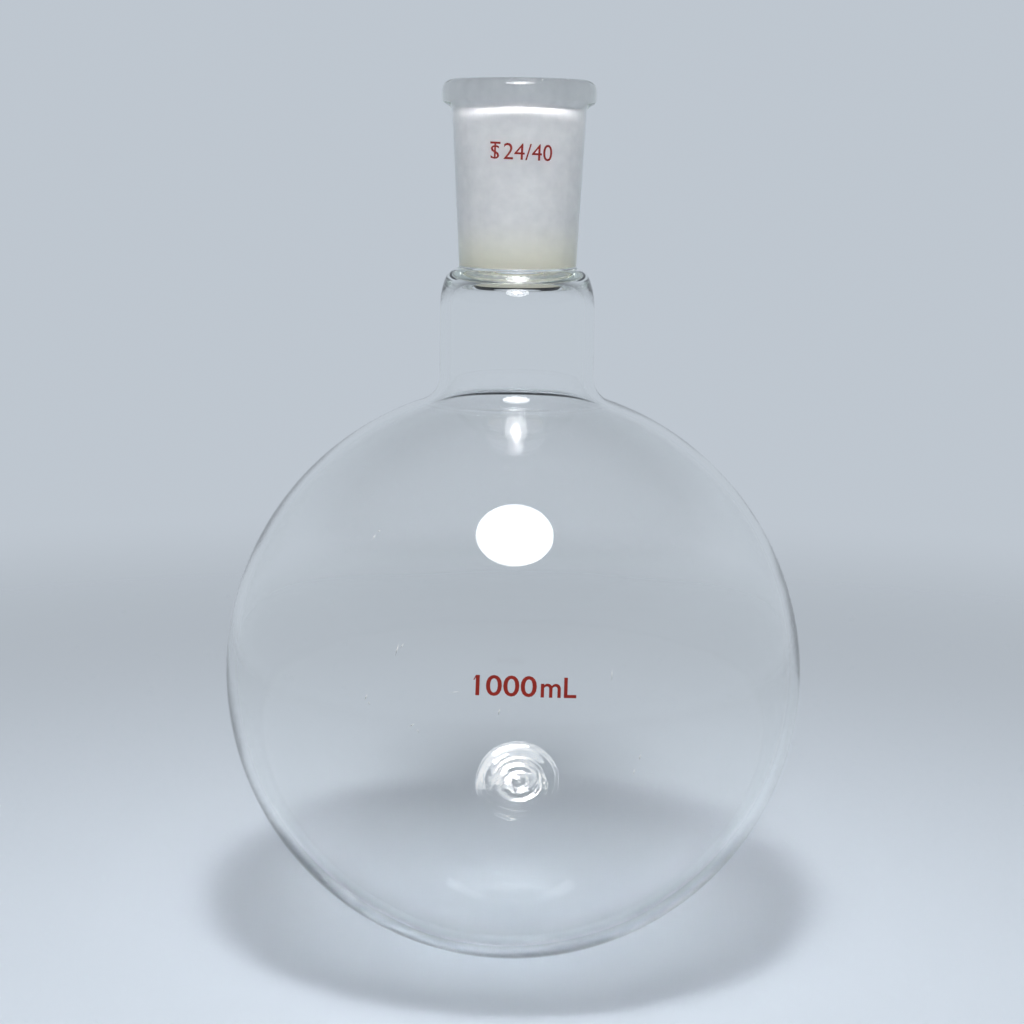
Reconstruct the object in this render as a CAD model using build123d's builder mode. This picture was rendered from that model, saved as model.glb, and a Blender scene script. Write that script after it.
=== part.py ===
from build123d import *
from math import atan, atan2, cos, degrees, pi, sin, sqrt, tan
import os

# Round-bottom flask of 1000 ml with one neck and a 24/40 taper joint, blown as one piece of glass.
# Millimetres. The origin is the lowest point of the bulb, and +Z runs up the neck.

# The bulb: a sphere outside, with the inner sphere raised a little so that the base is the thicker
bulb_diameter = 131.0
bulb_side_wall = 2.2
bulb_base_wall = 2.6

# The neck: a wider tube drawn out of the bulb, which carries the joint and is where a clamp grips
neck_step = 4.25            # how far the neck stands out past the joint tube at its foot
neck_wall = 2.0
neck_length = 14.6          # straight stretch, between the root and the shoulder
neck_root_radius = 6.0      # outer sweep from the bulb into the neck

# The shoulder: the neck rounds in to the joint tube
shoulder_height = 9.3
shoulder_wall = 2.3
shoulder_crease_radius = 0.8    # outside, where the shoulder meets the joint tube
shoulder_lip_radius = 1.5       # inside, where the bore opens into the neck

# The joint: a ground cone that tapers 1 in 10 on its diameter, in a tube that follows it
cone_mouth_diameter = 24.0
cone_length = 40.0
cone_taper = 1 / 10
clear_length = 2.0          # bore left unground between the cone and the shoulder
joint_wall = 3.05
mouth_lead_in = 1.6         # fire-polished rounding above the ground cone

# The bead round the mouth
bead_height = 6.3
bead_proud = 2.2
bead_slope = 1.0            # rise of the bead's underside, from the crease to its edge
bead_crease_radius = 0.5
bead_edge_radius = 2.4
rim_edge_radius = 1.5

# What follows from the sizes above
lean = atan(cone_taper / 2)     # angle between the joint's wall and the axis
foot_drop = shoulder_wall - clear_length    # the cone's foot lies this far below the shoulder's top
cone_foot_radius = cone_mouth_diameter / 2 - cone_length * tan(lean)
neck_radius = cone_foot_radius + foot_drop * tan(lean) + joint_wall + neck_step
neck_bore_radius = neck_radius - neck_wall
bulb_radius = bulb_diameter / 2
hollow_radius = bulb_radius - bulb_side_wall
bulb_centre = bulb_radius
hollow_centre = bulb_base_wall + hollow_radius


def root_height(centre, sphere_radius, tube_radius, root_radius):
    """Height at which a tube's root has swept in to the sphere's side from the tube's wall."""
    reach = tube_radius + root_radius
    return centre + sqrt((sphere_radius + root_radius) ** 2 - reach**2)


neck_foot = root_height(bulb_centre, bulb_radius, neck_radius, neck_root_radius)
neck_top = neck_foot + neck_length
shoulder_top = neck_top + shoulder_height
bore_foot = shoulder_top - shoulder_wall
cone_foot = bore_foot + clear_length
cone_mouth = cone_foot + cone_length
rim_top = cone_mouth + mouth_lead_in
bead_foot = rim_top - bead_height


def bore_radius(height):
    """Radius of the joint's inner wall, which keeps the ground cone's taper beyond its two ends."""
    return cone_foot_radius + (height - cone_foot) * tan(lean)


def tube_radius(height):
    """Radius of the joint's outer wall."""
    return bore_radius(height) + joint_wall


def bowl(centre, sphere_radius, neck, root_radius):
    """Draws one face of the glass, from the bottom of the bulb to the top of the neck."""
    root_x = neck + root_radius
    root_z = root_height(centre, sphere_radius, neck, root_radius)
    meeting = degrees(atan2(root_z - centre, root_x))
    CenterArc((0, centre), sphere_radius, -90, 90 + meeting)
    CenterArc((root_x, root_z), root_radius, 180, meeting)
    Line((neck, root_z), (neck, neck_top))


def shoulder(neck, corner_x, corner_z, corner_radius):
    """Draws one face of the shoulder, from the neck in and up to the joint, and gives its end.

    The corner is where the shoulder's flat top would meet the joint's wall without its radius.
    """
    run = corner_radius * tan((pi / 2 + lean) / 2)
    flat = (corner_x + run, corner_z)
    end = (corner_x + run * sin(lean), corner_z + run * cos(lean))
    EllipticalCenterArc((flat[0], neck_top), neck - flat[0], corner_z - neck_top)
    TangentArc(flat, end, tangent=(-1, 0))
    return end


with BuildPart() as flask:
    with BuildSketch(Plane.XZ) as section:
        with BuildLine() as wall:
            bowl(bulb_centre, bulb_radius, neck_radius, neck_root_radius)
            bowl(hollow_centre, hollow_radius, neck_bore_radius, neck_root_radius + neck_wall)
            outer_foot = shoulder(
                neck_radius, tube_radius(shoulder_top), shoulder_top, shoulder_crease_radius
            )
            inner_foot = shoulder(
                neck_bore_radius, bore_radius(bore_foot), bore_foot, shoulder_lip_radius
            )
            # Joint tube, bead and ground cone in one line, over the rim and down the bore
            bead_radius = tube_radius(bead_foot) + bead_proud
            mouth_radius = mouth_lead_in / tan((pi / 2 - lean) / 2)
            FilletPolyline(
                outer_foot,
                (tube_radius(bead_foot), bead_foot),
                (bead_radius, bead_foot + bead_slope),
                (bead_radius, rim_top),
                (bore_radius(rim_top), rim_top),
                (bore_radius(cone_foot), cone_foot),
                radius=[bead_crease_radius, bead_edge_radius, rim_edge_radius, mouth_radius],
            )
            Line((bore_radius(cone_foot), cone_foot), inner_foot)
            # Thickness of the base, on the axis
            Line((0, 0), (0, bulb_base_wall))
        make_face()
    revolve(axis=Axis.Z)

flask.part.label = "flask"

os.makedirs("parts", exist_ok=True)
export_step(flask.part, "parts/flask.step")

print(f"overall height {rim_top:.2f}, neck radius {neck_radius:.2f}, bead radius {bead_radius:.2f}")
print(f"clamp seat from {neck_foot:.2f} to {neck_top:.2f}, ground cone from {cone_foot:.2f}")
print(f"glass volume {flask.part.volume / 1000:.1f} cm3")
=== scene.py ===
import math

import bmesh
import bpy
from mathutils import Matrix, Vector, noise


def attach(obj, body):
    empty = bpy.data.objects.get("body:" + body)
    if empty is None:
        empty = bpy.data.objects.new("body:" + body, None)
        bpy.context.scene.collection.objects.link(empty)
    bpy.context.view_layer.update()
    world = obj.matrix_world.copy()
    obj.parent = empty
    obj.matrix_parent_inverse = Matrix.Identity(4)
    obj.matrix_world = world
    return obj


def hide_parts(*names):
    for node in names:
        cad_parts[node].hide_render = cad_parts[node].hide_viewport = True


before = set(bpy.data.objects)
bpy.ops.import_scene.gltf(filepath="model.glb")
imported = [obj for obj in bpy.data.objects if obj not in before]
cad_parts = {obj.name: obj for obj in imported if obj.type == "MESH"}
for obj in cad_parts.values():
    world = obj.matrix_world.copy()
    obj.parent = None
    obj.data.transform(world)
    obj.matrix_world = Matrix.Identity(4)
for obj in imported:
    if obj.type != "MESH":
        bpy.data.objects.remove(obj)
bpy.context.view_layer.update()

# Round-bottom flask of 1000 ml with a 24/40 joint. Sizes are in millimetres until a mesh is made.
METRES = 0.001

# The blown glass. The sizes are the part's own, apart from the bead's rounding and slope
BULB_RADIUS = 65.5
SIDE_WALL = 2.2
BASE_WALL = 2.6
NECK_STEP = 4.25
NECK_WALL = 2.0
NECK_LENGTH = 14.6
ROOT_RADIUS = 6.0
SHOULDER_HEIGHT = 9.3
SHOULDER_WALL = 2.3
CREASE_RADIUS = 0.8
LIP_RADIUS = 1.5
CONE_MOUTH_RADIUS = 12.0
CONE_LENGTH = 40.0
CLEAR_LENGTH = 2.0
JOINT_WALL = 3.05
LEAD_IN = 1.6
BEAD_HEIGHT = 6.3
BEAD_PROUD = 2.2
BEAD_SLOPE = 1.5
BEAD_CREASE_RADIUS = 0.4
BEAD_EDGE_RADIUS = 1.6
RIM_EDGE_RADIUS = 2.4

LEAN = math.atan(1 / 20)
CONE_FOOT_RADIUS = CONE_MOUTH_RADIUS - CONE_LENGTH * math.tan(LEAN)
FOOT_DROP = SHOULDER_WALL - CLEAR_LENGTH
NECK_RADIUS = CONE_FOOT_RADIUS + FOOT_DROP * math.tan(LEAN) + JOINT_WALL + NECK_STEP
NECK_BORE = NECK_RADIUS - NECK_WALL
HOLLOW_RADIUS = BULB_RADIUS - SIDE_WALL
HOLLOW_CENTRE = BASE_WALL + HOLLOW_RADIUS


def root_height(centre, sphere, tube, root):
    """Height at which the root of a tube has swept in from the sphere to the tube's wall."""
    return centre + math.sqrt((sphere + root) ** 2 - (tube + root) ** 2)


NECK_TOP = root_height(BULB_RADIUS, BULB_RADIUS, NECK_RADIUS, ROOT_RADIUS) + NECK_LENGTH
SHOULDER_TOP = NECK_TOP + SHOULDER_HEIGHT
BORE_FOOT = SHOULDER_TOP - SHOULDER_WALL
CONE_FOOT = BORE_FOOT + CLEAR_LENGTH
CONE_MOUTH = CONE_FOOT + CONE_LENGTH
RIM_TOP = CONE_MOUTH + LEAD_IN
BEAD_FOOT = RIM_TOP - BEAD_HEIGHT

# Scratches: x and y of the pixel where each shows, its slope in degrees, its length and breadth
SCRATCHES = [
    (374, 537, 75, 1.5, 0.30),
    (379, 531, 20, 0.8, 0.28),
    (397, 650, 80, 2.8, 0.22),
    (402, 646, 62, 1.5, 0.18),
    (366, 697, 70, 1.4, 0.26),
    (369, 703, 100, 0.9, 0.24),
    (412, 725, 35, 1.4, 0.22),
    (418, 731, 100, 0.9, 0.20),
    (455, 692, 12, 2.2, 0.14),
    (612, 675, 85, 2.8, 0.16),
    (499, 712, 75, 1.6, 0.24),
    (634, 772, 80, 1.4, 0.24),
    (640, 757, 70, 1.4, 0.24),
]
SCRATCH_HEIGHT = 0.03

# A swirl in the inner wall, low at the back, which breaks the lamp's image there into rings
SWIRL_PLACE = (1.8, 47.0, 23.8)
SWIRL_PITCH = 4.6
SWIRL_REACH = 14.0
SWIRL_DEPTH = 0.16

# Unevenness of the blown inner wall: how far it goes and how long its waves are
BROAD_WAVE = 0.06
BROAD_LENGTH = 26
BROAD_START = Vector((3.1, 7.7, 1.9))
RIPPLE = 0.006
RIPPLE_AROUND = 22
RIPPLE_UP = 4.0
STREAK = 0.012                  # along the drawn neck
STREAK_AROUND = 1.3
STREAK_UP = 15
CALM_HEIGHT = 6                 # the wall turns true over this height below the joint

# How finely the glass is turned
TURNS = 192
STEP = math.radians(1.3)        # along the bulb
FINE_STEP = math.radians(9)     # along the small radii
FEWEST = 3                      # pieces in the smallest rounding
LONGEST = 2.5                   # along the straight walls
GROUND_EDGE = 0.7               # how far the matt surface runs on into the rounding of the mouth
GUARD = 0.25                    # a straight wall's first and last piece, which keeps its shading flat


def bore_radius(height):
    """Radius of the joint's inner wall, which keeps the cone's taper beyond its ends."""
    return CONE_FOOT_RADIUS + (height - CONE_FOOT) * math.tan(LEAN)


def tube_radius(height):
    """Radius of the joint's outer wall."""
    return bore_radius(height) + JOINT_WALL


def arc(centre, radii, start, end, step):
    """Points of an arc or of a quarter ellipse, both ends with them. Angles are in radians."""
    count = max(2, math.ceil(abs(end - start) / step))
    angles = [start + (end - start) * i / count for i in range(count + 1)]
    return [
        (centre[0] + radii[0] * math.cos(a), centre[1] + radii[1] * math.sin(a)) for a in angles
    ]


def rounded(points, radii):
    """The line through the points, with each corner between its ends rounded to its radius."""
    line = [points[0]]
    for before, corner, after, radius in zip(points, points[1:], points[2:], radii):
        corner = Vector(corner)
        back = (Vector(before) - corner).normalized()
        on = (Vector(after) - corner).normalized()
        half = back.angle(on) / 2
        centre = corner + (back + on).normalized() * radius / math.sin(half)
        first = corner + back * radius / math.tan(half) - centre
        turn = -first.angle_signed(corner + on * radius / math.tan(half) - centre)
        count = max(FEWEST, math.ceil(abs(turn) / FINE_STEP))
        for i in range(count + 1):
            line.append(tuple(centre + Matrix.Rotation(turn * i / count, 2) @ first))
    return line + [points[-1]]


def divided(line):
    """The line with points added along its long straight runs."""
    out = [line[0]]
    for start, end in zip(line, line[1:]):
        start, end = Vector(start), Vector(end)
        length = (end - start).length
        if length > LONGEST:
            count = math.ceil((length - 2 * GUARD) / LONGEST)
            places = [GUARD + (length - 2 * GUARD) * i / count for i in range(count + 1)]
            out += [tuple(start.lerp(end, place / length)) for place in places]
        out.append(tuple(end))
    return out


def bowl(centre, sphere, neck, root):
    """One face of the glass, from the bottom of the bulb to the foot of the neck."""
    root_z = root_height(centre, sphere, neck, root)
    meeting = math.atan2(root_z - centre, neck + root)
    bulb = arc((0, centre), (sphere, sphere), -math.pi / 2, meeting, STEP)
    bulb[0] = (0, centre - sphere)
    sweep = arc((neck + root, root_z), (root, root), math.pi + meeting, math.pi, FINE_STEP / 2)
    return bulb + sweep[1:]


def shoulder(neck, corner_x, corner_z, corner_radius):
    """One face of the shoulder, from the top of the neck in and up to the joint."""
    run = corner_radius * math.tan((math.pi / 2 + LEAN) / 2)
    flat = corner_x + run
    dome = arc((flat, NECK_TOP), (neck - flat, corner_z - NECK_TOP), 0, math.pi / 2, FINE_STEP / 2)
    centre = (flat, corner_z + corner_radius)
    crease = arc(centre, (corner_radius,) * 2, -math.pi / 2, -math.pi - LEAN, FINE_STEP)
    return dome + crease[1:]


def glass_faces():
    """The outer outline with the mouth and bore, and the inner one, as (radius, height) pairs."""
    outside = bowl(BULB_RADIUS, BULB_RADIUS, NECK_RADIUS, ROOT_RADIUS)
    outside += shoulder(NECK_RADIUS, tube_radius(SHOULDER_TOP), SHOULDER_TOP, CREASE_RADIUS)
    bead = tube_radius(BEAD_FOOT) + BEAD_PROUD
    mouth = LEAD_IN / math.tan((math.pi / 2 - LEAN) / 2)
    joint_foot = SHOULDER_TOP + CREASE_RADIUS * 2
    rim = rounded(
        [
            (tube_radius(joint_foot), joint_foot),
            (tube_radius(BEAD_FOOT), BEAD_FOOT),
            (bead, BEAD_FOOT + BEAD_SLOPE),
            (bead, RIM_TOP),
            (bore_radius(RIM_TOP), RIM_TOP),
            (bore_radius(CONE_FOOT), CONE_FOOT),
        ],
        [BEAD_CREASE_RADIUS, BEAD_EDGE_RADIUS, RIM_EDGE_RADIUS, mouth],
    )
    inside = bowl(HOLLOW_CENTRE, HOLLOW_RADIUS, NECK_BORE, ROOT_RADIUS + NECK_WALL)
    inside += shoulder(NECK_BORE, bore_radius(BORE_FOOT), BORE_FOOT, LIP_RADIUS)
    return outside + rim, inside[::-1]


class Value:
    """One output of a node. Arithmetic on it adds the Math nodes that work it out."""

    def __init__(self, paint, socket):
        self.paint, self.socket = paint, socket

    def maths(self, operation, *others):
        values = dict(enumerate((self,) + others))
        return self.paint.node("ShaderNodeMath", {"operation": operation}, values)

    def __add__(self, other):
        return self.maths("ADD", other)

    def __mul__(self, other):
        return self.maths("MULTIPLY", other)

    def __gt__(self, other):
        return self.maths("GREATER_THAN", other)

    def __lt__(self, other):
        return self.maths("LESS_THAN", other)

    __radd__ = __add__
    __rmul__ = __mul__


class Paint:
    """The node tree of one material, or of the world."""

    def __init__(self, name, owner=None):
        self.owner = owner or bpy.data.materials.new(name)
        self.owner.use_nodes = True
        self.tree = self.owner.node_tree
        self.tree.nodes.clear()

    def node(self, kind, settings=None, values=None, output=0):
        """Adds a node, sets it, fills its inputs with numbers, colours or values, gives one output."""
        made = self.tree.nodes.new(kind)
        for name, setting in (settings or {}).items():
            if name == "stops":
                self.set_stops(made.color_ramp, setting)
            else:
                setattr(made, name, setting)
        for name, value in (values or {}).items():
            if isinstance(value, Value):
                self.tree.links.new(value.socket, made.inputs[name])
            else:
                made.inputs[name].default_value = value
        return Value(self, made.outputs[output]) if made.outputs else made

    def set_stops(self, ramp, stops):
        """Sets a ramp that passes smoothly from grey to grey."""
        ramp.interpolation = "EASE"
        while len(ramp.elements) < len(stops):
            ramp.elements.new(1)
        for element, (place, level) in zip(ramp.elements, stops):
            element.position = place
            element.color = (level, level, level, 1)

    def place(self):
        """Where a spot of the surface is, in metres from the flask's origin."""
        return self.node("ShaderNodeTexCoord", {}, {}, "Object")

    def mix(self, factor, first, second, blend="MIX"):
        """A colour between two others."""
        return self.node(
            "ShaderNodeMix",
            {"data_type": "RGBA", "blend_type": blend},
            {"Factor": factor, "A": first, "B": second},
            2,
        )

    def tinted(self, surface):
        """Ends the material with a surface, and with the tint of the glass that lies behind it."""
        tint = self.node(
            "ShaderNodeVolumeAbsorption", {}, {"Color": GLASS_TINT, "Density": TINT_DENSITY}
        )
        self.node("ShaderNodeOutputMaterial", {}, {"Surface": surface, "Volume": tint})
        return self.owner


GLASS_IOR = 1.473
GLASS_TINT = (0.62, 0.76, 0.64, 1)
TINT_DENSITY = 8.0      # per metre

# The ground surface: its colours, and how much of the light it lets through
GROUND_DULL = (0.76, 0.74, 0.77, 1)
GROUND_BRIGHT = (0.98, 0.95, 0.97, 1)
GROUND_WARM = (0.95, 0.90, 0.70, 1)
WARM_HEIGHT = CONE_LENGTH * 0.32
WARM_SHARE = 0.8
THROUGH_SHARE = 0.2

# The enamel, thin and thick
ENAMEL_THIN = (0.17, 0.007, 0.004, 1)
ENAMEL_THICK = (0.30, 0.020, 0.009, 1)

# The stand: table top, backdrop and lamp, which has a brighter core just before it
FLOOR_COLOUR = (0.60, 0.66, 0.73, 1)
FLOOR_FADE = 190        # up to this the table top is solid
FLOOR_REACH = 620       # beyond this the table top is clear
FLOOR_HALF = FLOOR_REACH * 1.05
BACKDROP_COLOUR = (0.516, 0.568, 0.628, 1)
BACKDROP_STOPS = [(0.0, 1.0), (0.25, 1.0), (0.8, 0.3)]      # height of the view, brightness
WORLD_LIGHT = (0.32, 0.32, 0.32, 1)
KEY_PLACE = (0, -235, BULB_RADIUS + 458)
KEY_SIZE = 232
KEY_POWER = 1.2
CORE_PLACE = (0, -232.5, BULB_RADIUS + 453)
CORE_SIZE = 84
CORE_POWER = 1.25


def distance(paint, place, spot):
    """How far a place on the surface is from a spot given in millimetres."""
    spot = tuple(Vector(spot) * METRES)
    return paint.node("ShaderNodeVectorMath", {"operation": "DISTANCE"}, {0: place, 1: spot}, "Value")


def clear_glass():
    """Clear borosilicate, with a faint tint that shows where the wall is seen along its length."""
    paint = Paint("clear_glass")
    place = paint.place()
    away = distance(paint, place, SWIRL_PLACE)
    rings = (away * (math.tau / (SWIRL_PITCH * METRES))).maths("COSINE")
    near = paint.node(
        "ShaderNodeMapRange",
        {"interpolation_type": "SMOOTHSTEP"},
        {"Value": away, "From Max": SWIRL_REACH * METRES, "To Min": 1.0, "To Max": 0.0},
    )
    middle = (0, 0, HOLLOW_CENTRE)
    inner = distance(paint, place, middle) < (HOLLOW_RADIUS + SIDE_WALL / 2) * METRES
    swirl = paint.node(
        "ShaderNodeBump", {}, {"Height": rings * near * inner, "Distance": SWIRL_DEPTH * METRES}
    )
    glass = paint.node(
        "ShaderNodeBsdfPrincipled",
        {},
        {
            "Base Color": (1, 1, 1, 1),
            "Roughness": 0.0,
            "IOR": GLASS_IOR,
            "Transmission Weight": 1.0,
            "Normal": swirl,
        },
    )
    return paint.tinted(glass)


def ground_glass():
    """The socket's matt ground surface: a fine grain that scatters light back and through."""
    paint = Paint("ground_glass")
    place = paint.place()
    height = paint.node("ShaderNodeSeparateXYZ", {}, {0: place}, "Z")
    grain = paint.node("ShaderNodeTexNoise", {}, {"Vector": place, "Scale": 2600.0, "Detail": 2.0})
    cloud = paint.node("ShaderNodeTexNoise", {}, {"Vector": place, "Scale": 420.0, "Detail": 4.0})
    # The foot of the cone looks warmer, where the wall is seen through its whole length
    foot = paint.node(
        "ShaderNodeMapRange",
        {"interpolation_type": "SMOOTHSTEP"},
        {
            "Value": height,
            "From Min": CONE_FOOT * METRES,
            "From Max": (CONE_FOOT + WARM_HEIGHT) * METRES,
            "To Min": WARM_SHARE,
            "To Max": 0.0,
        },
    )
    white = paint.mix(cloud, GROUND_DULL, GROUND_BRIGHT)
    colour = paint.mix(foot, white, GROUND_WARM)
    bump = paint.node(
        "ShaderNodeBump", {}, {"Height": grain, "Strength": 0.35, "Distance": 0.00004}
    )
    matt = paint.node(
        "ShaderNodeBsdfPrincipled",
        {},
        {
            "Base Color": colour,
            "Roughness": 0.42,
            "Specular IOR Level": 1.0,
            "IOR": GLASS_IOR,
            "Transmission Weight": 0.06,
            "Normal": bump,
        },
    )
    through = paint.node("ShaderNodeBsdfTranslucent", {}, {"Color": colour, "Normal": bump})
    surface = paint.node("ShaderNodeMixShader", {}, {0: THROUGH_SHARE, 1: matt, 2: through})
    return paint.tinted(surface)


def red_enamel():
    """Fired red enamel, a little uneven in thickness."""
    paint = Paint("red_enamel")
    values = {"Vector": paint.place(), "Scale": 900.0, "Detail": 3.0}
    blots = paint.node("ShaderNodeTexNoise", {}, values)
    colour = paint.mix(blots, ENAMEL_THIN, ENAMEL_THICK)
    enamel = paint.node(
        "ShaderNodeBsdfPrincipled",
        {},
        {"Base Color": colour, "Roughness": 0.45, "Specular IOR Level": 0.3},
    )
    paint.node("ShaderNodeOutputMaterial", {}, {"Surface": enamel})
    return paint.owner


# The camera: where it stood for the photograph, worked out from the outline and the joint
IMAGE = 1024
FOCAL_PIXELS = 2077
CAMERA_DISTANCE = 480
CAMERA_RISE = math.radians(13.7)
BULB_PIXEL = (513.2, 668)
AXIS_TILT = math.radians(0.63)


def camera():
    """The camera of the photograph, set up in the scene."""
    data = bpy.data.cameras.new("camera")
    data.sensor_width = 36
    data.lens = data.sensor_width * FOCAL_PIXELS / IMAGE
    data.clip_start = 0.01
    data.clip_end = 20
    thing = bpy.data.objects.new("camera", data)
    bpy.context.scene.collection.objects.link(thing)
    centre = Vector((0, 0, BULB_RADIUS))
    back = Vector((0, -math.cos(CAMERA_RISE), math.sin(CAMERA_RISE)))
    place = centre + back * CAMERA_DISTANCE
    # The bulb's centre stands this far from the middle of the picture once the roll is undone
    x, y = BULB_PIXEL[0] - IMAGE / 2, BULB_PIXEL[1] - IMAGE / 2
    right = x * math.cos(AXIS_TILT) + y * math.sin(AXIS_TILT)
    down = y * math.cos(AXIS_TILT) - x * math.sin(AXIS_TILT)
    pitch = CAMERA_RISE - math.atan(down / FOCAL_PIXELS)
    yaw = math.atan(right / FOCAL_PIXELS)
    turn = (
        Matrix.Rotation(yaw, 4, "Z")
        @ Matrix.Rotation(math.pi / 2 - pitch, 4, "X")
        @ Matrix.Rotation(AXIS_TILT, 4, "Z")
    )
    thing.matrix_world = Matrix.Translation(place * METRES) @ turn
    bpy.context.scene.camera = thing


def ray_through(x, y):
    """The camera's place, and the direction of the ray through a pixel of the photograph."""
    view = bpy.context.scene.camera.matrix_world
    across = Vector((x - IMAGE / 2, IMAGE / 2 - y, -FOCAL_PIXELS)).normalized()
    return view.to_translation() / METRES, view.to_3x3() @ across


def on_bulb(x, y):
    """The point of the bulb's front that shows at a pixel."""
    start, way = ray_through(x, y)
    out = start - Vector((0, 0, BULB_RADIUS))
    half = out.dot(way)
    return start + way * (-half - math.sqrt(half**2 - out.length_squared + BULB_RADIUS**2))


def new_object(name, vertices, faces):
    """A smooth mesh object, from points in millimetres."""
    mesh = bpy.data.meshes.new(name)
    mesh.from_pydata([[c * METRES for c in v] for v in vertices], [], faces)
    mesh.update()
    piece = bpy.data.objects.new(name, mesh)
    bpy.context.scene.collection.objects.link(piece)
    for polygon in mesh.polygons:
        polygon.use_smooth = True
    return piece


def waved(spot):
    """A point of the blown inner wall, moved away from the bulb's middle by the unevenness."""
    from_centre = spot - Vector((0, 0, HOLLOW_CENTRE))
    # It dies away towards the foot of the ground cone, which is true
    calm = min(1, max(0, (BORE_FOOT - spot.z) / CALM_HEIGHT))
    broad = noise.noise(spot / BROAD_LENGTH + BROAD_START) * BROAD_WAVE
    around, up, depth = RIPPLE_AROUND, RIPPLE_UP, RIPPLE
    if spot.z > NECK_TOP - NECK_LENGTH:
        around, up, depth = STREAK_AROUND, STREAK_UP, STREAK
    fine = noise.noise(Vector((spot.x / around, spot.y / around, spot.z / up))) * depth
    return spot + from_centre.normalized() * (broad + fine) * calm


def is_ground(start, end):
    """Whether a stretch of the outline, between two (radius, height) pairs, lies on the cone."""
    height = (start[1] + end[1]) / 2
    radius = (start[0] + end[0]) / 2
    on_bore = abs(radius - bore_radius(height)) < GROUND_EDGE
    return on_bore and CONE_FOOT < height < CONE_MOUTH + GROUND_EDGE


def turned_glass(clear, ground):
    """The whole flask as one closed skin, turned about the axis."""
    outside, inside = (divided(face) for face in glass_faces())
    outline = outside + inside
    first_inside = len(outside) + 1
    rings, vertices, faces, matt = [], [], [], []
    for row, (radius, height) in enumerate(outline):
        blown = row >= first_inside and not is_ground(outline[row - 1], (radius, height))
        if radius == 0:
            rings.append([len(vertices)])
            vertices.append((0, 0, height))
            continue
        rings.append(list(range(len(vertices), len(vertices) + TURNS)))
        for i in range(TURNS):
            a = math.tau * i / TURNS
            spot = Vector((radius * math.cos(a), radius * math.sin(a), height))
            vertices.append(tuple(waved(spot)) if blown else tuple(spot))
    for row, (low, high) in enumerate(zip(rings, rings[1:])):
        for i in range(TURNS):
            j = (i + 1) % TURNS
            if len(low) == 1:
                face = (low[0], high[j], high[i])
            elif len(high) == 1:
                face = (low[i], low[j], high[0])
            else:
                face = (low[i], low[j], high[j], high[i])
            faces.append(face)
            matt.append(is_ground(outline[row], outline[row + 1]))
    piece = new_object("flask_glass", vertices, faces)
    piece.data.materials.append(clear)
    piece.data.materials.append(ground)
    for polygon, is_matt in zip(piece.data.polygons, matt):
        polygon.material_index = int(is_matt)
    return piece


def floor():
    """A wide round table top, whose rim fades into the backdrop so that no horizon shows."""
    half = FLOOR_HALF
    corners = [(-half, -half, 0), (half, -half, 0), (half, half, 0), (-half, half, 0)]
    board = new_object("floor", corners, [(0, 1, 2, 3)])
    paint = Paint("floor")
    values = {0: paint.place()}
    away = paint.node("ShaderNodeVectorMath", {"operation": "LENGTH"}, values, "Value")
    fade = paint.node(
        "ShaderNodeMapRange",
        {"interpolation_type": "SMOOTHSTEP"},
        {"Value": away, "From Min": FLOOR_FADE * METRES, "From Max": FLOOR_REACH * METRES},
    )
    top = paint.node("ShaderNodeBsdfDiffuse", {}, {"Color": FLOOR_COLOUR, "Roughness": 0.5})
    gone = paint.node("ShaderNodeBsdfTransparent")
    surface = paint.node("ShaderNodeMixShader", {}, {0: fade, 1: top, 2: gone})
    paint.node("ShaderNodeOutputMaterial", {}, {"Surface": surface})
    board.data.materials.append(paint.owner)


def backdrop():
    """The world: pale wherever it is seen, darker overhead, and dimmer as a source of light."""
    world = bpy.data.worlds.new("backdrop")
    bpy.context.scene.world = world
    paint = Paint("backdrop", world)
    way = paint.node("ShaderNodeTexCoord", {}, {}, "Generated")
    up = paint.node("ShaderNodeSeparateXYZ", {}, {0: way}, "Z")
    level = paint.node("ShaderNodeValToRGB", {"stops": BACKDROP_STOPS}, {0: up}, "Color")
    colour = paint.mix(1.0, BACKDROP_COLOUR, level, "MULTIPLY")
    seen = paint.node("ShaderNodeLightPath", {}, {}, "Is Camera Ray")
    seen = seen + paint.node("ShaderNodeLightPath", {}, {}, "Is Glossy Ray")
    seen = seen + paint.node("ShaderNodeLightPath", {}, {}, "Is Transmission Ray")
    sky = paint.node("ShaderNodeBackground", {}, {"Color": colour, "Strength": 1.0})
    light = paint.node("ShaderNodeBackground", {}, {"Color": WORLD_LIGHT, "Strength": 1.0})
    surface = paint.node("ShaderNodeMixShader", {}, {0: seen > 0.5, 1: light, 2: sky})
    paint.node("ShaderNodeOutputWorld", {}, {"Surface": surface})


def lamp(name, place, size, power):
    """A round soft lamp, aimed at the middle of the bulb and not itself seen by the camera."""
    light = bpy.data.lights.new(name, "AREA")
    light.shape = "DISK"
    light.size = size * METRES
    light.energy = power
    thing = bpy.data.objects.new(name, light)
    thing.location = Vector(place) * METRES
    thing.rotation_mode = "QUATERNION"
    way = Vector((0, 0, BULB_RADIUS)) - Vector(place)
    thing.rotation_quaternion = way.to_track_quat("-Z", "Y")
    thing.visible_camera = False
    bpy.context.scene.collection.objects.link(thing)


# The enamel markings
PRINT_HEIGHT = 0.03     # how far the enamel stands out of the glass
PRINT_ROOT = 0.02       # and how deep its back lies in it
STRIP = 0.5             # breadth of the strips in which letters bend with the glass
SEAM = 1e-5             # points of a letter's front and side closer than this are one
SPECK = 0.002           # and so are points this close once the letters are cut

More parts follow.
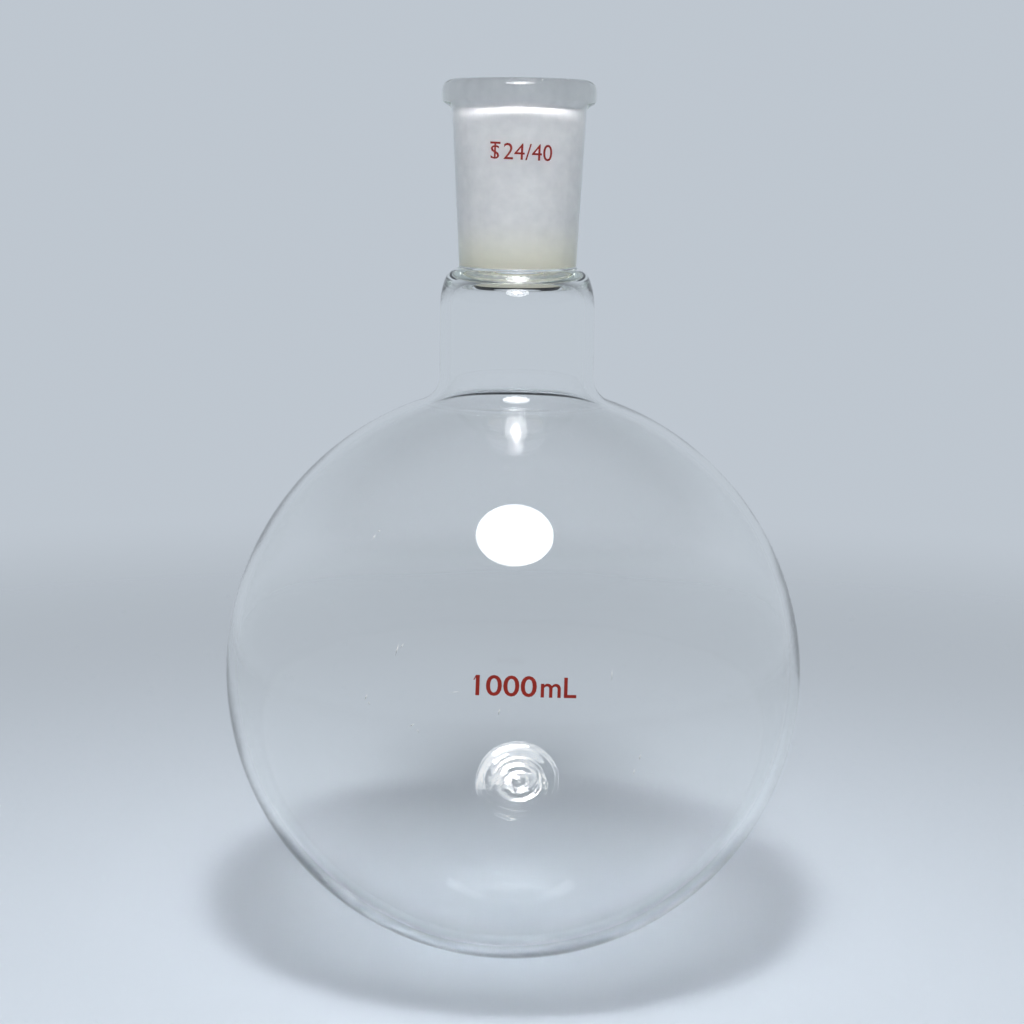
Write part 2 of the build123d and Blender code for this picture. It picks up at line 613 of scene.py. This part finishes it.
# Each word: its letters, how much bolder, its middle and foot, its width and height
JOINT_WORDS = [
    ("T", 0.0, -5.32, 0.1, 2.35, 3.55),
    ("S", 0.0, -5.32, 0.0, 2.0, 2.9),
    ("24/40", 0.0, 2.03, 0.0, 10.8, 3.5),
]
JOINT_MARK_FOOT = 180.9
JOINT_MARK_TURN = math.radians(-2.0)

# The figure 1 is a plain stroke with a short flag before its top
VOLUME_WORDS = [
    ("/", 0.014, -9.75, 3.1, 0.75, 0.95),
    ("1", 0.014, -9.2, 0.0, 0.8, 4.1),
    ("000", 0.012, -2.4, 0.0, 10.2, 4.2),
    ("mL", 0.012, 7.15, 0.0, 7.3, 4.1),
]
VOLUME_MARK_PIXEL = (523, 697)
VOLUME_MARK_TURN = math.radians(-1.6)


def lettering(name, words):
    """Flat letters as a closed thin mesh."""
    made = bmesh.new()
    for letters, weight, x, y, width, height in words:
        curve = bpy.data.curves.new(name, "FONT")
        curve.body = letters
        curve.offset = weight
        curve.extrude = 0.5
        curve.resolution_u = 4
        thing = bpy.data.objects.new(name, curve)
        mesh = bpy.data.meshes.new_from_object(thing)
        low = [min(v.co[axis] for v in mesh.vertices) for axis in (0, 1)]
        high = [max(v.co[axis] for v in mesh.vertices) for axis in (0, 1)]
        across, up = width / (high[0] - low[0]), height / (high[1] - low[1])
        mesh.transform(
            Matrix.Translation((x, y, 0))
            @ Matrix.Diagonal((across, up, 1, 1))
            @ Matrix.Translation((-(low[0] + high[0]) / 2, -low[1], 0))
        )
        made.from_mesh(mesh)
        bpy.data.meshes.remove(mesh)
        bpy.data.objects.remove(thing)
        bpy.data.curves.remove(curve)
    bmesh.ops.remove_doubles(made, verts=made.verts, dist=SEAM)
    reach = max(abs(v.co.x) for v in made.verts)
    for i in range(1, int(2 * reach / STRIP)):
        bmesh.ops.bisect_plane(
            made,
            geom=made.verts[:] + made.edges[:] + made.faces[:],
            plane_co=(i * STRIP - reach, 0, 0),
            plane_no=(1, 0, 0),
        )
    bmesh.ops.remove_doubles(made, verts=made.verts, dist=SPECK)
    bmesh.ops.dissolve_degenerate(made, edges=made.edges, dist=SPECK)
    mesh = bpy.data.meshes.new(name)
    made.to_mesh(mesh)
    made.free()
    piece = bpy.data.objects.new(name, mesh)
    bpy.context.scene.collection.objects.link(piece)
    return piece


def lay(piece, to_glass, turn):
    """Wraps flat letters on the glass: to_glass gives the place and the outward way of a spot."""
    for vertex in piece.data.vertices:
        flat = Matrix.Rotation(turn, 3, "Z") @ Vector((vertex.co.x, vertex.co.y, 0))
        place, out = to_glass(flat.x, flat.y)
        rise = PRINT_HEIGHT if vertex.co.z > 0 else -PRINT_ROOT
        vertex.co = (place + out * rise) * METRES
    piece.data.update()


def joint_mark(enamel):
    """The taper's sign and its size, on the front of the joint."""
    piece = lettering("joint_mark", JOINT_WORDS)

    def to_glass(x, y):
        height = JOINT_MARK_FOOT + y
        radius = tube_radius(height)
        around = x / radius
        out = Vector((math.sin(around), -math.cos(around), -math.tan(LEAN))).normalized()
        return Vector((radius * math.sin(around), -radius * math.cos(around), height)), out

    lay(piece, to_glass, JOINT_MARK_TURN)
    piece.data.materials.append(enamel)
    return piece


def volume_mark(enamel):
    """The flask's volume, on the front of the bulb."""
    piece = lettering("volume_mark", VOLUME_WORDS)
    centre = Vector((0, 0, BULB_RADIUS))
    out = (on_bulb(*VOLUME_MARK_PIXEL) - centre).normalized()
    side = Vector((0, 0, 1)).cross(out).normalized()
    up = out.cross(side)

    def to_glass(x, y):
        way = (out + side * (x / BULB_RADIUS) + up * (y / BULB_RADIUS)).normalized()
        return centre + way * BULB_RADIUS, way

    lay(piece, to_glass, VOLUME_MARK_TURN)
    piece.data.materials.append(enamel)
    return piece


def scuffs(worn):
    """Short scratches from use, in the bulb's front: slivers that taper to both ends."""
    vertices, faces = [], []
    centre = Vector((0, 0, BULB_RADIUS))
    for x, y, turn, length, breadth in SCRATCHES:
        middle = on_bulb(x, y)
        out = (middle - centre).normalized()
        side = Vector((0, 0, 1)).cross(out).normalized()
        along = Matrix.Rotation(math.radians(turn), 3, out) @ side
        across = out.cross(along)
        first = len(vertices)
        ends = [
            centre + (out * BULB_RADIUS + along * length * half).normalized() * BULB_RADIUS
            for half in (-0.5, 0.5)
        ]
        ring = [middle + across * breadth / 2, middle + out * SCRATCH_HEIGHT]
        ring += [middle - across * breadth / 2, middle - out * SCRATCH_HEIGHT]
        vertices += [tuple(v) for v in ends + ring]
        for i in range(4):
            j = (i + 1) % 4
            faces.append((first, first + 2 + i, first + 2 + j))
            faces.append((first + 1, first + 2 + j, first + 2 + i))
    piece = new_object("scuffs", vertices, faces)
    piece.data.materials.append(worn)
    return piece


def worn_glass():
    """Broken-up glass in a scratch, which catches the light."""
    paint = Paint("worn_glass")
    specks = paint.node("ShaderNodeTexNoise", {}, {"Vector": paint.place(), "Scale": 4000.0})
    worn = paint.node(
        "ShaderNodeBsdfPrincipled",
        {},
        {"Base Color": (0.95, 0.96, 0.97, 1), "Roughness": specks, "Transmission Weight": 0.2},
    )
    paint.node("ShaderNodeOutputMaterial", {}, {"Surface": worn})
    return paint.owner


camera()
flask = turned_glass(clear_glass(), ground_glass())
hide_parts("flask")
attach(flask, "root")

enamel = red_enamel()
for mark in (joint_mark(enamel), volume_mark(enamel)):
    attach(mark, "root")

wear = scuffs(worn_glass())
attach(wear, "root")

floor()
backdrop()
lamp("key", KEY_PLACE, KEY_SIZE, KEY_POWER)
lamp("core", CORE_PLACE, CORE_SIZE, CORE_POWER)

scene = bpy.context.scene
scene.view_settings.view_transform = "Standard"
scene.cycles.max_bounces = 24
scene.cycles.transmission_bounces = 24
scene.cycles.glossy_bounces = 12
scene.cycles.transparent_max_bounces = 24
# The light that the glass lets through to the table stays sharp
scene.cycles.blur_glossy = 0.0
scene.cycles.sample_clamp_indirect = 0.0
